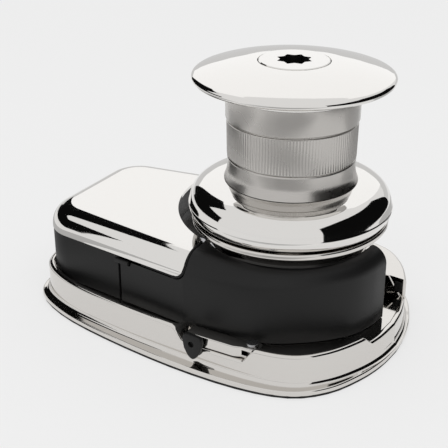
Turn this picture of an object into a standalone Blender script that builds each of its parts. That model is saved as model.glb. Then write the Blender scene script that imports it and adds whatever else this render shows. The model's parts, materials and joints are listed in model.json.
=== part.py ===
"""Vertical anchor windlass with a warping drum, low polished base and chain-pipe cover.

Metres, +Z up. The deck is z = 0. The outlines below are in millimetres from the drum axis,
x towards the bow, and everything hangs on the drum axis, DRUM_X ahead of the object's middle.
"""

import math

import bmesh
import bpy
from mathutils import Vector

MM = 0.001
GAP = 0.3  # between touching pieces

# Driving dimensions, millimetres
DRUM_X = 53.0  # drum axis, ahead of the middle of the base
GASKET_TOP = 1.7
FOOT_TOP = 5.5
FLOOR_TOP = 22.5  # floor of the chain well
LIP_TOP = 28.4  # raised lip round the base
FAR_WALL_TOP = 36.6  # higher wall on the far side of the well
SILL_Y = 39.0  # the bow sill runs from here
SILL_END = -34.0  # to here
LID_BOTTOM = 59.0
LID_TOP = 76.4
LID_WALL = 3.0
COVER_AFT = -180.5  # aft end of lid and surround
COVER_CORNER = 31.0
PANEL_TOP = 56.4  # top of the guard's strip under the lid
SEAM_X = -99.0  # seam between surround and guard
LID_END_X = -43.0  # near end of the lid
WELL_ARC = (-5.5, 41.5, 96.0)  # centre and radius of the lid's hollow edge
GUARD_BORE = 60.0  # radius that the guard leaves round the drum axis
SHAFT_R = 14.0
GYPSY_TOP = 89.5
DRUM_FOOT = 116.6  # joint between lower flange and barrel
BARREL_TOP = 178.0
CAP_TOP = 199.0
NUT_TOP = 199.6
NUT_R = 23.9
SOCKET_FLATS = 17.46  # eight-point handle socket, across flats
HAWSE = (-72.0, 22.0)
HAWSE_BORE = 19.0
STRIPPER = (-65.0, -16.0)
PAWL_PIVOT = (13.5, -79.0)
TURN_STEPS = 36
LIP_WIDTH = 4.2
FAR_LAND = 15.0  # width of the far wall's top
FAR_END = -30.0  # the far wall drops to the lip here
INSERTS = [(52, -58), (52, 58), (-135, -50), (-135, 50)]  # for the deck studs
GUARD_SCREWS = [(57, -26), (14, -61), (-28, -66)]
SURROUND_SCREWS = [(-165, -34), (-165, 34), (-112, 0)]

# Half outlines from the bow tip to the aft end, near side
WALL_HALF = [
    (84, 0), (81.5, -22), (74.5, -44), (62, -66), (44, -82), (14, -88),
    (-40, -87), (-100, -81), (-148, -71), (-178, -53), (-187, -24), (-188, 0),
]
FOOT_HALF = [
    (87, 0), (85, -23), (78.5, -47), (66, -71.5), (45, -89), (10, -96.5),
    (-42, -96), (-104, -88), (-151, -76.5), (-182, -58), (-192, -27), (-193, 0),
]
GUARD_FACE = [
    (LID_END_X, -75), (-20, -74.5), (2, -72.5), (22, -66.5), (40, -55),
    (55, -41.5), (65, -28), (70.5, -13), (73, 3),
]

parts = bpy.data.collections.new("anchor_windlass")
cutters = bpy.data.collections.new("cutters")


def clear_scene():
    for obj in list(bpy.data.objects):
        bpy.data.objects.remove(obj)


def material(name, colour, metallic, roughness):
    made = bpy.data.materials.new(name)
    made.use_nodes = True
    shader = made.node_tree.nodes["Principled BSDF"]
    shader.inputs["Base Color"].default_value = (*colour, 1)
    shader.inputs["Metallic"].default_value = metallic
    shader.inputs["Roughness"].default_value = roughness
    made.diffuse_color = (*colour, 1)
    return made


def empty(name, x, y, z, parent=None):
    made = bpy.data.objects.new(name, None)
    parts.objects.link(made)
    made.location = (x * MM, y * MM, z * MM)
    made.parent = parent
    return made


def node(name, mesh, finish, parent):
    """A named sub-part: its mesh and finish, under its parent."""
    made = bpy.data.objects.new(name, mesh)
    parts.objects.link(made)
    made.parent = parent
    mesh.materials.clear()
    mesh.materials.append(finish)
    return made


def as_mesh(obj, name):
    """The evaluated mesh of a helper object, which is removed. Loose caps are welded."""
    bpy.context.view_layer.update()
    graph = bpy.context.evaluated_depsgraph_get()
    mesh = bpy.data.meshes.new_from_object(obj.evaluated_get(graph))
    mesh.name = name
    bm = bmesh.new()
    bm.from_mesh(mesh)
    bmesh.ops.remove_doubles(bm, verts=bm.verts, dist=2e-6)
    bmesh.ops.recalc_face_normals(bm, faces=bm.faces)
    bm.to_mesh(mesh)
    bm.free()
    bpy.data.objects.remove(obj)
    return mesh


def smooth(mesh, angle=35):
    mesh.shade_smooth()
    mesh.set_sharp_from_angle(angle=math.radians(angle))
    return mesh


def spline(points, steps, closed=True):
    """Catmull-Rom curve through the points."""
    count = len(points)
    spans = count if closed else count - 1
    made = []
    for i in range(spans):
        if closed:
            a, b, c, d = (points[(i + k) % count] for k in (-1, 0, 1, 2))
        else:
            a, b, c, d = (points[min(max(i + k, 0), count - 1)] for k in (-1, 0, 1, 2))
        for s in range(steps):
            t = s / steps
            made.append(tuple(
                0.5 * (2 * q + (r - p) * t + (2 * p - 5 * q + 4 * r - u) * t * t
                       + (3 * q - p - 3 * r + u) * t ** 3)
                for p, q, r, u in zip(a, b, c, d)
            ))
    if not closed:
        made.append(tuple(points[-1]))
    return made


def mirrored(half):
    """A closed outline from its near half."""
    return half + [(x, -y) for x, y in reversed(half[1:-1])]


def offset(points, distance, closed=True):
    """The outline moved to its left, one distance or one for each point. Outlines run clockwise."""
    made = []
    count = len(points)
    distances = distance if isinstance(distance, list) else [distance] * count
    for i, point in enumerate(points):
        before = points[i - 1] if closed or i else point
        after = points[(i + 1) % count] if closed or i < count - 1 else point
        along = Vector((after[0] - before[0], after[1] - before[1])).normalized()
        made.append((point[0] - along.y * distances[i], point[1] + along.x * distances[i]))
    return made


def arc(centre, radius, start, end, steps):
    """Points along an arc, angles in degrees."""
    angles = [math.radians(start + (end - start) * i / steps) for i in range(steps + 1)]
    return [(centre[0] + radius * math.cos(a), centre[1] + radius * math.sin(a)) for a in angles]


def loft(name, rings):
    """A closed solid through rings of equal count, each a list of (x, y, z)."""
    bm = bmesh.new()
    loops = [[bm.verts.new([c * MM for c in point]) for point in ring] for ring in rings]
    count = len(rings[0])
    for low, high in zip(loops, loops[1:]):
        for i in range(count):
            j = (i + 1) % count
            bm.faces.new((low[i], low[j], high[j], high[i]))
    bm.faces.new(list(reversed(loops[0])))
    bm.faces.new(loops[-1])
    bmesh.ops.remove_doubles(bm, verts=bm.verts, dist=1e-6)
    bmesh.ops.triangulate(bm, faces=[f for f in bm.faces if len(f.verts) > 4])
    bmesh.ops.recalc_face_normals(bm, faces=bm.faces)
    mesh = bpy.data.meshes.new(name)
    bm.to_mesh(mesh)
    bm.free()
    return mesh


def slab(name, outline, bottom, top):
    """A flat outline raised from bottom to top: a filled 2D curve with an extrude."""
    curve = bpy.data.curves.new(name, "CURVE")
    curve.dimensions = "2D"
    curve.fill_mode = "BOTH"
    curve.extrude = (top - bottom) / 2 * MM
    line = curve.splines.new("POLY")
    line.points.add(len(outline) - 1)
    for point, (x, y) in zip(line.points, outline):
        point.co = (x * MM, y * MM, 0, 1)
    line.use_cyclic_u = True
    helper = bpy.data.objects.new(name, curve)
    bpy.context.scene.collection.objects.link(helper)
    mesh = as_mesh(helper, name)
    for vert in mesh.vertices:
        vert.co.z += (top + bottom) / 2 * MM
    return mesh


def turned(name, profile, steps=TURN_STEPS, centre=(0, 0)):
    """A ring turned from a closed profile of (radius, z) that runs down its outer side first."""
    mesh = bpy.data.meshes.new(name)
    points = [(r * MM, 0, z * MM) for r, z in profile]
    on_axis = [r < 1e-6 for r, z in profile]
    edges = [(i, (i + 1) % len(points)) for i in range(len(points))]
    edges = [(i, j) for i, j in edges if not (on_axis[i] and on_axis[j])]
    mesh.from_pydata(points, edges, [])
    helper = bpy.data.objects.new(name, mesh)
    bpy.context.scene.collection.objects.link(helper)
    screw = helper.modifiers.new("turn", "SCREW")
    screw.steps = steps
    screw.render_steps = steps
    screw.use_merge_vertices = True
    screw.merge_threshold = 0.00001
    made = as_mesh(helper, name)
    for vert in made.vertices:
        vert.co.x += centre[0] * MM
        vert.co.y += centre[1] * MM
    return smooth(made)


def block(name, low, high):
    """A box between two corners."""
    bm = bmesh.new()
    bmesh.ops.create_cube(bm, size=1)
    for vert in bm.verts:
        vert.co = [(a + b) / 2 * MM + c * (b - a) * MM for a, b, c in zip(low, high, vert.co)]
    mesh = bpy.data.meshes.new(name)
    bm.to_mesh(mesh)
    bm.free()
    return mesh


def rod(name, radius, bottom, top, centre=(0, 0), steps=24):
    return turned(name, [(0, top), (radius, top), (radius, bottom), (0, bottom)], steps, centre)


def boolean(obj, mesh, operation, solver="EXACT"):
    """A Boolean with a helper object that holds the mesh and stands where obj stands."""
    helper = bpy.data.objects.new(obj.name + "_" + mesh.name, mesh)
    cutters.objects.link(helper)
    helper.parent = obj.parent
    helper.location = obj.location
    helper.hide_render = True
    helper.display_type = "WIRE"
    made = obj.modifiers.new(mesh.name, "BOOLEAN")
    made.operation = operation
    made.object = helper
    made.solver = solver


def cut(obj, mesh, solver="EXACT"):
    boolean(obj, mesh, "DIFFERENCE", solver)


def add(obj, mesh):
    boolean(obj, mesh, "UNION")


def near_wall(x):
    """Half width of the lid and its surround, which narrow towards the aft end."""
    return 75 - 0.128 * (LID_END_X - x)


def cover_ring(inset, z, grow=0.0):
    """The lid's outline, inset along its near, aft and far sides, its hollow edge kept."""
    left = COVER_AFT + inset
    radius = max(COVER_CORNER - inset, 3)
    corner = left + radius
    half = near_wall(corner) - inset - radius
    cx, cy, hollow = WELL_ARC
    hollow += grow
    points = [(LID_END_X - grow, -near_wall(LID_END_X) + inset)]
    points += arc((corner, -half), radius, 263, 180, 7)
    points += arc((corner, half), radius, 180, 97, 7)
    points += [(-100 - grow, near_wall(-100) - inset)]
    points += arc((cx, cy), hollow, 175 - grow * 0.2, 246, 14)[1:]
    return [(x, y, z) for x, y in points]


def guard_ring(inset, z, bore=GUARD_BORE):
    """The guard's outline: its face, inset from the outside, and the arc round the drum."""
    face = spline(GUARD_FACE, 3, closed=False)
    made = []
    last = len(face) - 1
    for i, (x, y) in enumerate(offset(face, inset, closed=False)):
        start = (x if i else LID_END_X + 2.2, y)
        made.append((start[0], start[1] - (inset * 0.6 if i == last else 0)))
    ends = math.degrees(math.atan2(made[-1][1] + 4, made[-1][0]))
    seam = math.acos((LID_END_X + 2.2) / bore)
    made += arc((0, 0), bore, ends, -math.degrees(seam), 14)
    return [(x, y, z) for x, y in made]


def star(name, bottom, top):
    """An eight-point handle socket: two squares turned by 45 degrees."""
    points = []
    inner = SOCKET_FLATS / 2 / math.cos(math.pi / 8)
    for i in range(8):
        tip = math.pi / 4 * i + 0.07
        points.append((SOCKET_FLATS / math.sqrt(2) * math.cos(tip),
                       SOCKET_FLATS / math.sqrt(2) * math.sin(tip)))
        notch = tip + math.pi / 8
        points.append((inner * math.cos(notch), inner * math.sin(notch)))
    return slab(name, points, bottom, top)


def base_lines():
    """Wall and foot outlines with matching points, two of them close together at each step."""
    wall = mirrored(spline(WALL_HALF, 3, closed=False))
    foot = mirrored(spline(FOOT_HALF, 3, closed=False))
    lines = [w + f for w, f in zip(wall, foot)]
    for axis, value, side in ((1, SILL_Y, 0), (1, SILL_END, 0), (0, FAR_END, 1)):
        for i in range(len(lines)):
            a = lines[i]
            b = lines[(i + 1) % len(lines)]
            if (a[axis] - value) * (b[axis] - value) < 0 and a[side] > 0:
                middle = (value - a[axis]) / (b[axis] - a[axis])
                steps = (middle - 0.03, middle + 0.03)
                extra = [tuple(p + (q - p) * t for p, q in zip(a, b)) for t in steps]
                lines[i + 1:i + 1] = extra
                break
    return [line[:2] for line in lines], [line[2:] for line in lines]


def make_base(axis, finish, rubber):
    """Cast base: foot, low wall with a lip, the higher far wall, and the flat floor of the well."""
    wall, foot = base_lines()
    tops = []
    lands = []
    for x, y in wall:
        far = y > SILL_Y and x > FAR_END
        sill = x > 60 and SILL_END < y < SILL_Y
        tops.append(FAR_WALL_TOP if far else FLOOR_TOP if sill else LIP_TOP)
        lands.append(-FAR_LAND if far else -LIP_WIDTH)
    inner = [(x, max(y, SILL_Y) if top == FAR_WALL_TOP else y)
             for (x, y), top in zip(offset(wall, lands), tops)]
    rings = [[(x, y, GASKET_TOP + GAP) for x, y in foot]]
    rings.append([(x, y, FOOT_TOP - 1) for x, y in foot])
    rings.append([(x, y, FOOT_TOP) for x, y in offset(foot, -1)])
    rings.append([(x, y, FOOT_TOP + 1) for x, y in offset(wall, 1.5)])
    rings.append([(x, y, FOOT_TOP + 4) for x, y in wall])
    for inset, drop in ((0, 2), (0.6, 0.6), (2, 0)):
        rings.append([(x, y, top - drop) for (x, y), top in zip(offset(wall, -inset), tops)])
    rings.append([(x, y, top) for (x, y), top in zip(inner, tops)])
    rings.append([(x, y, FLOOR_TOP) for x, y in inner])
    base = node("base", smooth(loft("base", rings)), finish, axis)
    cut(base, rod("shaft_bore", 21.3, -5, 40, steps=32), "MANIFOLD")
    cut(base, rod("hawse_bore", HAWSE_BORE + 3.3, -5, 40, HAWSE, steps=30), "MANIFOLD")
    cut(base, rod("hawse_seat", 25, FLOOR_TOP - 4, 40, HAWSE, steps=30), "MANIFOLD")
    notch = [(-47, 32), (-43, 27.6), (-38.5, 21), (-35, 17.5), (9, 17.5), (22, 32)]
    channel = slab("lever_notch", notch, 73.5, 100)
    for vert in channel.vertices:
        x, y, z = vert.co
        vert.co = (x, -z, y)
    cut(base, channel, "MANIFOLD")
    cut(base, rod("pivot_pocket", 7.9, 17.5, 40, PAWL_PIVOT, steps=20), "MANIFOLD")
    cut(base, rod("pivot_bore", 2.6, 8, 30, PAWL_PIVOT, steps=12), "MANIFOLD")
    cut(base, block("guide_pocket", (67.5, SILL_Y - 3, 25.4), (74.3, SILL_Y + 6, 33.9)), "MANIFOLD")
    for i, (x, y) in enumerate(INSERTS):
        cut(base, rod(f"insert_bore_{i + 1}", 6.3, -1, 14.3, (x, y), steps=12), "MANIFOLD")
    for i, (x, y) in enumerate(GUARD_SCREWS + SURROUND_SCREWS):
        cut(base, rod(f"screw_bore_{i + 1}", 2.3, 13.7, 40, (x, y), steps=10), "MANIFOLD")
    gasket = node("base_gasket", slab("base_gasket", offset(foot, -0.8), 0, GASKET_TOP), rubber, axis)
    cut(gasket, rod("gasket_shaft_hole", 22, -5, 5, steps=24))
    cut(gasket, rod("gasket_hawse_hole", HAWSE_BORE + 3.3, -5, 5, HAWSE, steps=24))
    for i, (x, y) in enumerate(INSERTS):
        cut(gasket, rod(f"gasket_stud_hole_{i + 1}", 6.3, -1, 5, (x, y), steps=12))


def make_surround(axis, plastic):
    """Black moulded wall round the aft end, its floor, and the wall of the well."""
    floor = FLOOR_TOP + GAP
    rings = [cover_ring(0, floor), cover_ring(0, LID_BOTTOM - GAP)]
    surround = node("surround", smooth(loft("surround", rings)), plastic, axis)
    add(surround, loft("well_wall", [well_wall(floor + 1), well_wall(LID_TOP - LID_WALL - 0.4)]))
    hollow = [cover_ring(3.2, floor + 3, 3.2), cover_ring(3.2, 90, 3.2)]
    cut(surround, loft("inside", hollow))
    seam = [(SEAM_X - 1, -90), (-35, -90), (-35, -68), (-47, -67.2), (SEAM_X - 1, -62.6)]
    cut(surround, slab("guard_place", seam, 15, 95))
    for i, place in enumerate(SURROUND_SCREWS):
        cut(surround, rod(f"surround_bore_{i + 1}", 2.3, 15, 40, place, steps=10))


def well_wall(z):
    """Thin curved wall that stands just inside the lid's hollow edge."""
    cx, cy, hollow = WELL_ARC
    outer = arc((cx, cy), hollow + 2.6, 176, 244, 13)
    inner = arc((cx, cy), hollow + 0.6, 244, 176, 13)
    return [(x, y, z) for x, y in outer + inner]


def make_guard(axis, plastic):
    """Black moulded guard: a strip under the lid, and the tall part round the drum."""
    floor = FLOOR_TOP + GAP
    round_r = 11
    rings = [guard_ring(0, floor), guard_ring(0, LID_TOP - round_r)]
    for i in range(1, 5):
        turn = math.radians(90 * i / 4)
        inset = round_r * (1 - math.cos(turn))
        rings.append(guard_ring(inset, LID_TOP - round_r + round_r * math.sin(turn)))
    guard = node("guard", smooth(loft("guard", rings)), plastic, axis)
    cut(guard, loft("guard_inside", [guard_hollow(floor + 3), guard_hollow(LID_TOP - 4)]))
    strip = [(SEAM_X + 0.6, -near_wall(SEAM_X)), (LID_END_X + 4, -near_wall(LID_END_X) + 0.1),
             (LID_END_X + 4, -near_wall(LID_END_X) + 3.6), (SEAM_X + 0.6, -near_wall(SEAM_X) + 3.6)]
    add(guard, slab("strip", strip, floor + 0.2, PANEL_TOP))
    for i, place in enumerate(GUARD_SCREWS):
        cut(guard, rod(f"guard_bore_{i + 1}", 2.3, 15, 40, place, steps=10))


def guard_hollow(z):
    """The guard's inside, open towards the drum."""
    face = offset(spline(GUARD_FACE, 3, closed=False), 3.6, closed=False)
    inside = [(x, y) for x, y in face if x > LID_END_X + 6 and y < -3]
    points = [(LID_END_X + 5.6, inside[0][1])] + inside + [(40, -3), (LID_END_X + 5.6, -3)]
    return [(x, y, z) for x, y in points]


def make_lid(axis, chrome):
    """Polished cover: a thin pressing, open below and towards the drum. Returns its slide."""
    slide = empty("lid_slide", 0, 0, 0, axis)
    round_r = LID_TOP - LID_BOTTOM - 1.4
    rings = [cover_ring(0, LID_BOTTOM), cover_ring(0, LID_BOTTOM + 1.4)]
    for i in range(1, 6):
        turn = math.radians(90 * i / 5)
        inset = round_r * (1 - math.cos(turn))
        rings.append(cover_ring(inset, LID_BOTTOM + 1.4 + round_r * math.sin(turn)))
    lid = node("chain_pipe_lid", smooth(loft("chain_pipe_lid", rings)), chrome, slide)
    hollow = []
    for i in range(5):
        turn = math.radians(90 * i / 4)
        inset = LID_WALL + (round_r - 1) * (1 - math.cos(turn))
        z = LID_BOTTOM + 0.4 + (round_r - LID_WALL + 1) * math.sin(turn)
        hollow.append(cover_ring(inset, z, -4))
    hollow.insert(0, [(x, y, LID_BOTTOM - 5) for x, y, _ in hollow[0]])
    cut(lid, loft("lid_inside", hollow))
    return slide


def make_lid_seal(slide, rubber):
    """Black seal strip under the lid's skirt and up its near end."""
    bottom = LID_BOTTOM - 1.3
    end = LID_END_X + 1.1
    near = -near_wall(LID_END_X)
    route = [(SEAM_X + 19, -near_wall(SEAM_X + 19) + 1.2, bottom), (-70, -near_wall(-70) + 1.2, bottom),
             (LID_END_X, near + 1.8, bottom), (end - 0.2, near + 2, bottom + 0.4),
             (end, near + 2.4, bottom + 1.6), (end, near + 6, LID_BOTTOM + 9),
             (end, near + 14, LID_TOP - 2.0), (end, near + 27, LID_TOP - 1.6)]
    curve = bpy.data.curves.new("lid_seal", "CURVE")
    curve.dimensions = "3D"
    curve.bevel_depth = 0.8 * MM
    curve.bevel_resolution = 1
    curve.use_fill_caps = True
    line = curve.splines.new("POLY")
    line.points.add(len(route) - 1)
    for point, place in zip(line.points, route):
        point.co = (*[c * MM for c in place], 1)
    helper = bpy.data.objects.new("lid_seal", curve)
    bpy.context.scene.collection.objects.link(helper)
    node("lid_seal", smooth(as_mesh(helper, "lid_seal"), 50), rubber, slide)


def make_well(axis, steel, plastic, brass):
    """Chain pipe, stripper, guide block, sensor and the inserts for the deck studs."""
    pipe = [(24.6, 28), (24.6, 25.6), (24.4, FLOOR_TOP - 3.4), (HAWSE_BORE + 3, FLOOR_TOP - 3.7),
            (HAWSE_BORE + 3, 0.3), (HAWSE_BORE, 0.3), (HAWSE_BORE, 28)]
    node("chain_pipe", turned("chain_pipe", pipe, 30, HAWSE), steel, axis)
    stripper = node("chain_stripper", block("stripper_post", (-71, -24, FLOOR_TOP + GAP), (-58.5, -8, 53)),
                    steel, axis)
    finger = [(-70, -23), (-70, -9), (-58, -9.5), (-38.5, -7), (-37.5, -12.5), (-58, -23)]
    add(stripper, slab("stripper_finger", finger, 46.6, 53.4))
    cut(stripper, rod("stripper_screw_bore", 2.8, 10, 70, STRIPPER, steps=12))
    screw = [(0, 57.6), (4.6, 57.6), (4.6, 53.7), (2.5, 53.7), (2.5, 23), (0, 23)]
    node("stripper_screw", turned("stripper_screw", screw, 12, STRIPPER), steel, axis)
    node("bow_guide_block", block("bow_guide_block", (67.8, SILL_Y - 0.6, 25.7), (74, SILL_Y + 5.6, 33.6)),
         plastic, axis)
    node("counter_sensor", rod("counter_sensor", 5, FLOOR_TOP + GAP, 26.4, (0, -45), 16), plastic, axis)
    for i, (x, y) in enumerate(INSERTS):
        ring = [(6, 13.9), (6, 0.4), (4, 0.4), (4, 13.9)]
        node(f"deck_insert_{i + 1}", turned(f"deck_insert_{i + 1}", ring, 12, (x, y)), brass, axis)


def make_shaft(spin, steel, brass, dark, root):
    """Bearings and seal in the base, and the shaft with its keys and clutch cones."""
    lower = [(21, 11), (21, 2), (SHAFT_R + 0.3, 2), (SHAFT_R + 0.3, 11)]
    upper = [(r, z + 9.4) for r, z in lower]
    seal = [(21, 22.2), (21, 20.8), (SHAFT_R + 0.3, 20.8), (SHAFT_R + 0.3, 22.2)]
    node("lower_bearing", turned("lower_bearing", lower, 24), steel, root)
    node("upper_bearing", turned("upper_bearing", upper, 24), steel, root)
    node("oil_seal", turned("oil_seal", seal, 24), dark, root)
    profile = [(0, 189), (8, 189), (8, 183.2), (SHAFT_R, 183.2), (SHAFT_R, 2), (0, 2)]
    shaft = node("main_shaft", turned("main_shaft", profile, 24), steel, spin)
    cut(shaft, block("drum_keyway", (10.5, -3.2, 92), (20, 3.2, 112)))
    cut(shaft, block("cone_keyway", (10.5, -3.2, 26), (20, 3.2, 37)))
    node("drum_key", block("drum_key", (10.8, -2.9, 92.4), (16.6, 2.9, 111.6)), steel, spin)
    node("cone_key", block("cone_key", (10.8, -2.9, 26.3), (16.6, 2.9, 36.6)), steel, spin)
    cone = [(23.4, 39.3), (29.6, 26.9), (29.6, 24.4), (SHAFT_R + 0.3, 24.4), (SHAFT_R + 0.3, 39.3)]
    low = node("lower_clutch_cone", turned("lower_clutch_cone", cone, 40), brass, spin)
    cut(low, block("lower_cone_keyway", (10, -3.2, 20), (17, 3.2, 37)))
    cone = [(49.2, 89.0), (49.2, 84.8), (43.2, 84.4), (29.2, 70.5), (SHAFT_R + 0.3, 70.5),
            (SHAFT_R + 0.3, 89.0)]
    node("upper_clutch_cone", turned("upper_clutch_cone", cone, 40), brass, spin)


def make_gypsy(free, polished, brass, dark):
    """Chain wheel: top ring, waist with link pockets, bottom flange, cone seats."""
    profile = [
        (67.5, GYPSY_TOP), (69, 88.4), (69, 86), (66, 83.5), (59, 79.4), (57, 72), (46, 59.5),
        (38, 54), (36, 50), (38, 46), (46, 40.5), (54, 36.5), (55, 32), (48, 27),
        (30.5, 27), (24, 39.9), (18.6, 40.1), (18.6, 69.7), (30, 69.9), (44, 83.9), (50, 84.1),
        (50, GYPSY_TOP),
    ]
    gypsy = node("chain_wheel", turned("chain_wheel", profile), polished, free)
    for i in range(6):
        turn = math.radians(60 * i)
        pocket = slab(f"pocket_{i + 1}", arc((47, 0), 13, 10, 340, 11), 45.5, 54.5)
        for vert in pocket.vertices:
            x, y, z = vert.co
            y *= 1.25
            vert.co = (x * math.cos(turn) - y * math.sin(turn),
                       x * math.sin(turn) + y * math.cos(turn), z)
        cut(gypsy, pocket)
    cut(gypsy, rod("magnet_bore", 2.8, 20, 31.3, (0, -45), 16))
    node("counter_magnet", rod("counter_magnet", 2.5, 27.4, 31, (0, -45), 16), dark, free)
    bush = [(18.3, 69.2), (18.3, 40.6), (SHAFT_R + 0.3, 40.6), (SHAFT_R + 0.3, 69.2)]
    node("chain_wheel_bush", turned("chain_wheel_bush", bush, 24), brass, free)


def make_drum(spin, polished, steel):
    """Drum in three pieces, held by dowels above and screws below."""
    bell = [
        (45.2, 116.3), (50.2, 116.3), (56.8, 115), (62.8, 111.6), (67.6, 106.4), (70.5, 101),
        (71, 98.4), (70.4, 95), (68.8, 91.6), (66, 91.6), (64.5, 95.5), (58, 103), (44, 107.5),
        (24, 107.5), (24, 89.6), (SHAFT_R + 0.3, 89.6), (SHAFT_R + 0.3, 116.3),
    ]
    flange = node("drum_lower_flange", turned("drum_lower_flange", bell), polished, spin)
    cut(flange, block("hub_keyway", (10, -3.2, 80), (17, 3.2, 112)))
    barrel = [
        (45.6, BARREL_TOP), (45.3, 161), (44.3, 160.3), (44.3, 159.3), (44.8, 158.8), (44.4, 134.2),
        (43.6, 133.7), (43.6, 132.7), (44.1, 132.1), (44.2, 122), (46.3, DRUM_FOOT), (36, DRUM_FOOT),
        (36, BARREL_TOP),
    ]
    shell = node("drum_barrel", turned("drum_barrel", barrel), polished, spin)
    cap = [
        (24.3, CAP_TOP), (34, 198.2), (45, 196.5), (55, 194.3), (62, 192.4), (66.4, 191), (68, 189.8),
        (68.2, 188.6), (67.4, 187), (65.4, 186), (58, 185.2), (51, 183.4), (47.2, 180.8),
        (46, BARREL_TOP + GAP), (SHAFT_R + 0.3, BARREL_TOP + GAP), (SHAFT_R + 0.3, 183.5), (24.3, 183.5),
    ]
    top = node("drum_top_flange", turned("drum_top_flange", cap), polished, spin)
    for i in range(3):
        turn = math.radians(120 * i + 30)
        place = (40.4 * math.cos(turn), 40.4 * math.sin(turn))
        cut(shell, rod(f"cap_pin_bore_{i + 1}", 2.3, 171, 200, place, 12))
        cut(top, rod(f"cap_pin_seat_{i + 1}", 2.3, 170, 182.3, place, 12))
        node(f"cap_dowel_{i + 1}", rod(f"cap_dowel_{i + 1}", 2, 171.4, 181.9, place, 12), steel, spin)
        cut(shell, rod(f"foot_bore_{i + 1}", 2.8, 100, 128, place, 12))
        cut(flange, rod(f"foot_screw_bore_{i + 1}", 2.8, 100, 130, place, 12))
        screw = [(0, 127), (2.5, 127), (2.5, 107.1), (4.4, 107.1), (4.4, 103.4), (0, 103.4)]
        node(f"drum_screw_{i + 1}", turned(f"drum_screw_{i + 1}", screw, 12, place), steel, spin)


def make_clutch_nut(lift, turn, polished, steel, dark):
    """Nut that clamps the clutch: its washer, the handle socket and an O-ring."""
    washer = [(23.6, 185.8), (23.6, 183.8), (SHAFT_R + 0.3, 183.8), (SHAFT_R + 0.3, 185.8)]
    node("thrust_washer", turned("thrust_washer", washer, 24), steel, lift)
    profile = [(0, NUT_TOP), (NUT_R - 0.6, NUT_TOP), (NUT_R, NUT_TOP - 0.6), (NUT_R, 196.6), (22.4, 196.4),
               (22.4, 193.8), (NUT_R, 193.6), (NUT_R, 186.1), (0, 186.1)]
    nut = node("clutch_nut", turned("clutch_nut", profile), polished, turn)
    cut(nut, star("handle_socket", 190.6, 205))
    cut(nut, rod("thread_bore", 8.4, 180, 189.4, steps=24))
    ring = [(23.4 + 0.65 * math.cos(a), 195.1 - 0.65 * math.sin(a)) for a in
            (math.radians(60 * i) for i in range(6))]
    node("nut_o_ring", turned("nut_o_ring", ring, 24), dark, turn)


def make_pawl(axis, polished, plastic, steel):
    """Side lever in its notch: bar, thumb tab, pivot pin and coil spring."""
    swing = empty("pawl_swing", *PAWL_PIVOT, 0, axis)
    bar = [(-47.5, -7.6), (-47.5, 3.5), (-6, 3.5), (-3.5, 5.9), (3.5, 5.9), (6.4, 3), (6.4, -3),
           (3.5, -5.8), (-5, -5.8), (-11, -7.6)]
    lever = node("pawl_lever", slab("pawl_lever", bar, 18, 26.2), polished, swing)
    cut(lever, rod("pawl_pin_bore", 2.7, 10, 40, steps=12))
    cut(lever, block("spring_seat", (-5.2, -9, 20.2), (9, 9, 24)))
    shield = [(-6.6, 28.8), (6.6, 27.6), (7.6, 23), (6.4, 16.5), (2.8, 11), (0, 9.6), (-3.2, 11.4),
              (-6.5, 17), (-7.7, 23.5)]
    made = slab("pawl_tab", shield, 9.2, 13.4)
    boss = slab("tab_boss", [(-6, 18.8), (-6, 25.4), (6, 25.4), (6, 18.8)], 7.9, 10)
    for mesh in (made, boss):
        for vert in mesh.vertices:
            x, y, z = vert.co
            vert.co = (x - 0.0395, -z, y)
    tab = node("pawl_tab", made, plastic, swing)
    add(tab, boss)
    pin = [(0, 28.4), (4.2, 28.4), (4.2, 26.5), (2.3, 26.5), (2.3, 8.4), (0, 8.4)]
    node("pawl_pin", turned("pawl_pin", pin, 12, PAWL_PIVOT), steel, axis)
    curve = bpy.data.curves.new("pawl_spring", "CURVE")
    curve.dimensions = "3D"
    curve.bevel_depth = 0.35 * MM
    curve.bevel_resolution = 1
    curve.use_fill_caps = True
    line = curve.splines.new("POLY")
    count = 33
    line.points.add(count - 1)
    for i, point in enumerate(line.points):
        turn = math.radians(30 * i)
        place = (PAWL_PIVOT[0] + 3.5 * math.cos(turn), PAWL_PIVOT[1] + 3.5 * math.sin(turn),
                 20.9 + 2.4 * i / (count - 1))
        point.co = (*[c * MM for c in place], 1)
    helper = bpy.data.objects.new("pawl_spring", curve)
    bpy.context.scene.collection.objects.link(helper)
    node("pawl_spring", smooth(as_mesh(helper, "pawl_spring"), 50), steel, axis)


def make_screws(axis, steel):
    """Socket screws that hold guard and surround on the base."""
    for name, places in (("guard_screw", GUARD_SCREWS), ("surround_screw", SURROUND_SCREWS)):
        for i, place in enumerate(places):
            screw = [(0, 29.6), (3.6, 29.6), (3.6, 26.1), (2, 26.1), (2, 14), (0, 14)]
            node(f"{name}_{i + 1}", turned(f"{name}_{i + 1}", screw, 10, place), steel, axis)


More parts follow.
